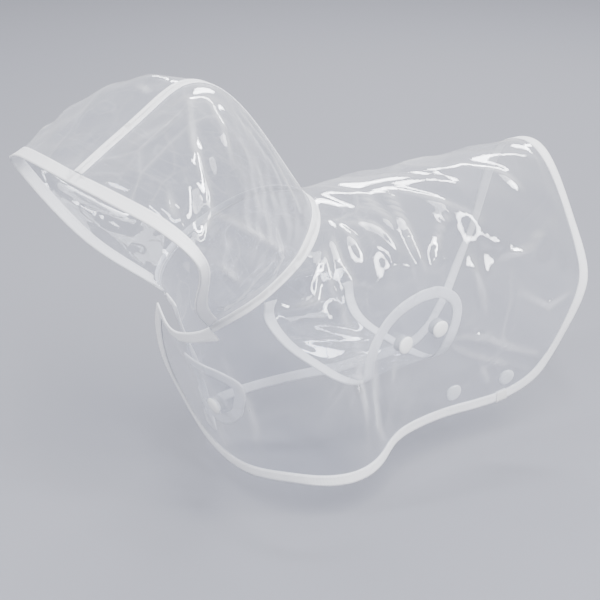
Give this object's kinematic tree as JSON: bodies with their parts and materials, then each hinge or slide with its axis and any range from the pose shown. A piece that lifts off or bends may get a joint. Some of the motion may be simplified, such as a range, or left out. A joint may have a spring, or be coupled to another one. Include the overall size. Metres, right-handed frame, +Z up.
{
  "type": "dog raincoat",
  "caption": "Clear hooded raincoat for a small dog, edged with white binding, with a wrap front, a chest tab and an inner belly strap closed by snaps.",
  "frame": {"origin": "on the underside of the cape in the middle of the back, where the coat lies on the wearer", "axes": "+Z up, -Y the way the hood looks, +X the wearer's left side"},
  "size_m": [0.211, 0.3723, 0.2668],
  "materials": {
    "film": "clear glossy vinyl film",
    "binding": "white woven tape",
    "snap_white": "white, satin",
    "snap_clear": "milky translucent"
  },
  "bodies": {
    "root": {"cape": "film", "hood_left": "film", "hood_right": "film", "belly_strap": "film", "chest_tab": "film", "hem_binding": "binding", "brim_binding": "binding", "neck_tape": "binding", "crown_tape": "binding", "belly_strap_binding": "binding", "chest_tab_binding": "binding", "chest_snap_outer": "snap_white", "belly_snap_front_outer": "snap_white", "belly_snap_rear_outer": "snap_white", "chest_snap_inner": "snap_clear", "belly_snap_front_inner": "snap_clear", "belly_snap_rear_inner": "snap_clear", "spare_snap_front": "snap_clear", "spare_snap_rear": "snap_clear"}
  },
  "joints": []
}
